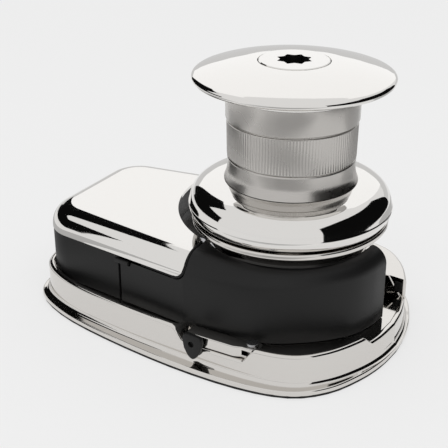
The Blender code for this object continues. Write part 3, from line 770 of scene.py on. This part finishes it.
class WINDLASS_OT_chain_wheel(bpy.types.Operator):
    """Chain wheel with its polished top ring and link pockets"""
    bl_idname = "windlass.chain_wheel"
    bl_label = "Chain wheel"

    def execute(self, context):
        ring = rounded([(50, 89.5), (68.2, 89.5), (69, 88.6), (69, 86), (66, 83.5)], 0.7, 3,
                       (1, 2, 3))
        waist = spline([(66, 83.5), (59, 79.4), (57, 72), (46, 59.5), (38, 54), (36, 50), (38, 46),
                        (46, 40.5), (54, 36.5), (55, 32)], 4)
        bore = [(54, 28), (48, 27), (30.5, 27), (24, 39.9), (18.6, 40.1), (18.6, 69.7), (30, 69.9),
                (44, 83.9), (50, 84.1)]
        steps = context.scene.windlass_sizes.turn_steps
        wheel = finished("chain_wheel_body", turned(ring + waist[1:] + bore, steps), 30,
                         finish("chrome_plate"), "chain_wheel", "chromed_bronze", "chain_wheel")
        tools = []
        pockets = 6
        for i in range(pockets):
            pocket = slab([(x, y * 1.25) for x, y in arc(47, 0, 13, 0, 354, 59)], 45.5, 54.5, 0.8)
            turn = Matrix.Rotation(math.tau * i / pockets, 3, "Z")
            bmesh.ops.rotate(pocket, cent=(0, 0, 0), matrix=turn, verts=pocket.verts)
            tools.append(pocket)
        cut(wheel, tools)
        return {"FINISHED"}


class WINDLASS_OT_clutch_nut(bpy.types.Operator):
    """Cap of the drum with its eight-point handle socket, and the groove for the ring that seals it
    """
    bl_idname = "windlass.clutch_nut"
    bl_label = "Clutch nut"

    def execute(self, context):
        profile = [(0, 186.1), (0, 199.6), (12.8, 199.6), (23.3, 199.5), (23.9, 199.0),
                   (23.9, 196.6), (22.4, 196.4), (22.4, 193.8), (23.9, 193.6), (23.9, 186.1)]
        nut = finished("socket_cap", turned(profile, context.scene.windlass_sizes.turn_steps), 30,
                       finish("polished_stainless"), "clutch_nut", "polished_stainless",
                       "clutch_nut")
        points = []
        for i in range(8):
            tip = math.tau / 8 * i + 0.07
            for radius, turn in ((12.35, tip), (9.45, tip + math.pi / 8)):
                points.append((radius * math.cos(turn), radius * math.sin(turn)))
        cut(nut, [slab(rounded(points, 0.5, 2), 190.6, 205), rod(8.4, 180, 189.4, 48)])
        # The walls of the broached socket take the second material: near black, painted shade of
        # the deep socket
        nut.data.materials.append(finish("socket_painted_shade"))
        for face in nut.data.polygons:
            if (face.center - AXIS).xy.length < 12.6 * MM and face.center.z < 199.4 * MM:
                face.material_index = 1
        return {"FINISHED"}


class WINDLASS_OT_lever(bpy.types.Operator):
    """Side lever: polished bar, black thumb tab with its hole, and the pin"""
    bl_idname = "windlass.lever"
    bl_label = "Side lever"

    def execute(self, context):
        x, y = PIVOT
        bar = [(-47.5, -7.6), (-47.5, 3.5), (-6, 3.5), (-3.5, 5.9), (3.5, 5.9), (6.4, 3), (6.4, -3),
               (3.5, -5.8), (-5, -5.8), (-11, -7.6)]
        bm = slab(rounded([(x + a, y + b) for a, b in bar], 1.2, 4), 18, 26.2, 0.9)
        lever = finished("lever_bar", bm, 35, finish("chrome_plate"), "pawl", "chromed_bronze",
                         "pawl_lever")
        seat = slab(rectangle(x - 5.2, y - 9, x + 9, y + 9), 20.2, 24)
        cut(lever, [seat, rod(2.7, 10, 40, 36, PIVOT)])
        shield = [(-6.6, 28.8), (6.6, 27.6), (7.6, 23), (6.2, 16.5), (2.8, 11), (0, 9.4),
                  (-3.2, 11.4), (-6.4, 17), (-7.7, 23.5)]
        bm = upright(slab(rounded([(x - 39.5 + a, b) for a, b in shield], 2.6, 5), 88.3, 92.4, 1.1))
        tab = finished("thumb_tab", bm, 35, finish("moulded_asa"), "pawl", "black_moulding",
                       "pawl_tab")
        cut(tab, [upright(rod(2.2, 90.2, 100, 32, (x - 40, 21.5)))])
        pin = rounded([(0, 28.4), (4.2, 28.4), (4.2, 26.5), (2.3, 26.5), (2.3, 8.4), (0, 8.4)],
                      0.5, 3, (1, 2))
        finished("lever_pin", turned(pin, 48, PIVOT), 35, finish("turned_steel"), "base_assembly",
                 "turned_steel", "pawl_pin")
        return {"FINISHED"}


class WINDLASS_OT_details(bpy.types.Operator):
    """Chain pipe in the well and guide block at the bow"""
    bl_idname = "windlass.details"
    bl_label = "Well details"

    def execute(self, context):
        pipe = rounded([(24.6, 28), (24.6, 25.6), (24.4, 19.1), (22, 18.8), (22, 0.3), (19, 0.3),
                        (19, 28)], 1.2, 5, (0, 6))
        finished("chain_pipe_ring", turned(pipe, 96, HAWSE), 30, finish("chrome_plate"),
                 "base_assembly", "turned_steel", "chain_pipe")
        block = slab(rounded(rectangle(67.8, 38.6, 74.0, 44.4), 0.8, 3), 25.7, 33.6, 0.6)
        finished("guide_block", block, 35, finish("moulded_asa"), "base_assembly",
                 "black_moulding", "bow_guide_block")
        return {"FINISHED"}


class WINDLASS_OT_inner(bpy.types.Operator):
    """Finishes of the pieces whose plain shape is already right"""
    bl_idname = "windlass.inner"
    bl_label = "Inner pieces"

    def execute(self, context):
        finishes = {
            "turned_steel": "turned_steel", "bronze": "bearing_bronze",
            "black_rubber": "epdm_rubber", "black_moulding": "moulded_asa",
            "chromed_bronze": "chrome_plate", "polished_stainless": "polished_stainless",
        }
        slots = {row["node"]: row["material_slot"] for row in frame["record"]["subparts"]}
        for name, obj in frame["nodes"].items():
            material = finish(finishes[slots[name]])
            if not obj.material_slots:
                obj.data.materials.append(material)
            for place in obj.material_slots:
                place.material = material
        return {"FINISHED"}


def sheet(name, width, height, turn=None, place=(0, 0, 0)):
    """A flat sheet for the stage. place is in metres."""
    bm = bmesh.new()
    bmesh.ops.create_grid(bm, x_segments=1, y_segments=1, size=0.5)
    bmesh.ops.scale(bm, vec=(width, height, 1), verts=bm.verts)
    if turn:
        bmesh.ops.rotate(bm, cent=(0, 0, 0), matrix=turn, verts=bm.verts)
    bmesh.ops.translate(bm, vec=place, verts=bm.verts)
    return linked(name, bm)


def card(name, place, facing, width, height, shade):
    """A studio card that shows only in reflections. place is in metres from the drum axis."""
    turn = Vector(facing).to_track_quat("Z", "Y").to_matrix()
    made = sheet(name, width, height, turn, Vector(place) + AXIS)
    material = bpy.data.materials.new(name)
    material.use_nodes = True
    tree = material.node_tree
    tree.nodes.clear()
    glow = add(tree, "ShaderNodeEmission", {"Color": (shade, shade, shade, 1), "Strength": 1.0})
    out = add(tree, "ShaderNodeOutputMaterial")
    tree.links.new(glow.outputs[0], out.inputs["Surface"])
    made.data.materials.append(material)
    made.visible_camera = False
    made.visible_diffuse = False
    made.visible_shadow = False


class WINDLASS_OT_stage(bpy.types.Operator):
    """Pale floor, soft studio light, reflection cards and the camera"""
    bl_idname = "windlass.stage"
    bl_label = "Stage"

    def execute(self, context):
        scene = context.scene
        scene.view_settings.view_transform = "Standard"
        world = bpy.data.worlds.new("studio")
        scene.world = world
        world.use_nodes = True
        back = world.node_tree.nodes["Background"]
        back.inputs["Color"].default_value = colour(BACKDROP)
        back.inputs["Strength"].default_value = 1.0
        floor = sheet("floor", FLOOR_SIZE, FLOOR_SIZE)
        floor.location.z = -FLOOR_DROP
        paint = bpy.data.materials.new("painted_floor")
        paint.use_nodes = True
        shader = paint.node_tree.nodes["Principled BSDF"]
        shader.inputs["Base Color"].default_value = (0.25, 0.25, 0.25, 1)
        shader.inputs["Roughness"].default_value = 0.9
        shader.inputs["Specular IOR Level"].default_value = 0.0
        shader.inputs["Emission Color"].default_value = colour(BACKDROP)
        shader.inputs["Emission Strength"].default_value = FLOOR_GLOW
        floor.data.materials.append(paint)
        for row in CARDS:
            card(*row)
        key_light = bpy.data.lights.new("key", "AREA")
        key_light.shape = "RECTANGLE"
        key_light.size = 0.9
        key_light.size_y = 0.5
        key_light.energy = 2.5
        lamp = bpy.data.objects.new("key", key_light)
        lamp.visible_glossy = False
        lamp.location = LIGHT_PLACE
        lamp.rotation_euler = (LIGHT_AIM - lamp.location).to_track_quat("-Z", "Y").to_euler()
        scene.collection.objects.link(lamp)
        lens = bpy.data.cameras.new("camera")
        lens.lens = CAMERA_LENS
        lens.sensor_width = 36
        lens.clip_end = 30
        camera = bpy.data.objects.new("camera", lens)
        camera.location = AXIS + CAMERA_PLACE * MM
        camera.rotation_euler = CAMERA_AIM.to_track_quat("-Z", "Y").to_euler()
        scene.collection.objects.link(camera)
        scene.camera = camera
        return {"FINISHED"}


# name, place, facing, width, height, shade
CARDS = [
    ("white_back", (-0.48, 0.86, 0.75), (0.41, -0.73, -0.55), 1.35, 1.0, 1.1),
    ("grey_horizon", (-0.6, 1.05, 0.215), (0.5, -0.87, 0), 2.4, 0.43, 0.66),
    ("dark_left", (-0.36, 0.04, 0.31), (1, 0, 0), 0.26, 0.38, BLACK_CARD),
    ("dark_aft", (-0.44, -0.105, 0.195), (1, 0, 0), 0.47, 0.21, BLACK_CARD),
    ("dark_bow", (0.37, 0.13, 0.27), (-0.93, -0.36, 0), 0.95, 0.46, BLACK_CARD),
    ("floor_outer", (0.14, -0.37, 0.0004), (0, 0, 1), 0.62, 0.4, 0.64),
    ("floor_middle", (0.14, -0.38, 0.0006), (0, 0, 1), 0.46, 0.36, 0.54),
    ("floor_inner", (0.15, -0.38, 0.0008), (0, 0, 1), 0.3, 0.32, 0.44),
    ("floor_bow", (0.2, 0.33, 0.0005), (0, 0, 1), 0.32, 0.3, 0.5),
    ("floor_aft", (-0.33, -0.1, 0.0005), (0, 0, 1), 0.2, 0.5, 0.5),
]


class WINDLASS_PT_panel(bpy.types.Panel):
    """Lists the windlass's pieces"""
    bl_label = "Windlass"
    bl_space_type = "VIEW_3D"
    bl_region_type = "UI"
    bl_category = "Windlass"

    def draw(self, context):
        for prop in ("mirror", "plastic_hex", "plastic_roughness"):
            self.layout.prop(context.scene.windlass_looks, prop)
        for prop in ("ridges", "ridge", "turn_steps"):
            self.layout.prop(context.scene.windlass_sizes, prop)
        for operator in OPERATORS:
            self.layout.operator(operator.bl_idname)


OPERATORS = (
    WINDLASS_OT_inner, WINDLASS_OT_base, WINDLASS_OT_surround, WINDLASS_OT_guard, WINDLASS_OT_lid,
    WINDLASS_OT_drum, WINDLASS_OT_chain_wheel, WINDLASS_OT_clutch_nut, WINDLASS_OT_lever,
    WINDLASS_OT_details, WINDLASS_OT_stage,
)
CLASSES = (WindlassLooks, WindlassSizes) + OPERATORS + (WINDLASS_PT_panel,)


def register():
    for item in CLASSES:
        bpy.utils.register_class(item)
    bpy.types.Scene.windlass_looks = bpy.props.PointerProperty(type=WindlassLooks)
    bpy.types.Scene.windlass_sizes = bpy.props.PointerProperty(type=WindlassSizes)


def unregister():
    del bpy.types.Scene.windlass_sizes
    del bpy.types.Scene.windlass_looks
    for item in reversed(CLASSES):
        bpy.utils.unregister_class(item)


def main():
    register()
    for operator in OPERATORS:
        group, name = operator.bl_idname.split(".")
        getattr(getattr(bpy.ops, group), name)()


if __name__ == "__main__":
    main()
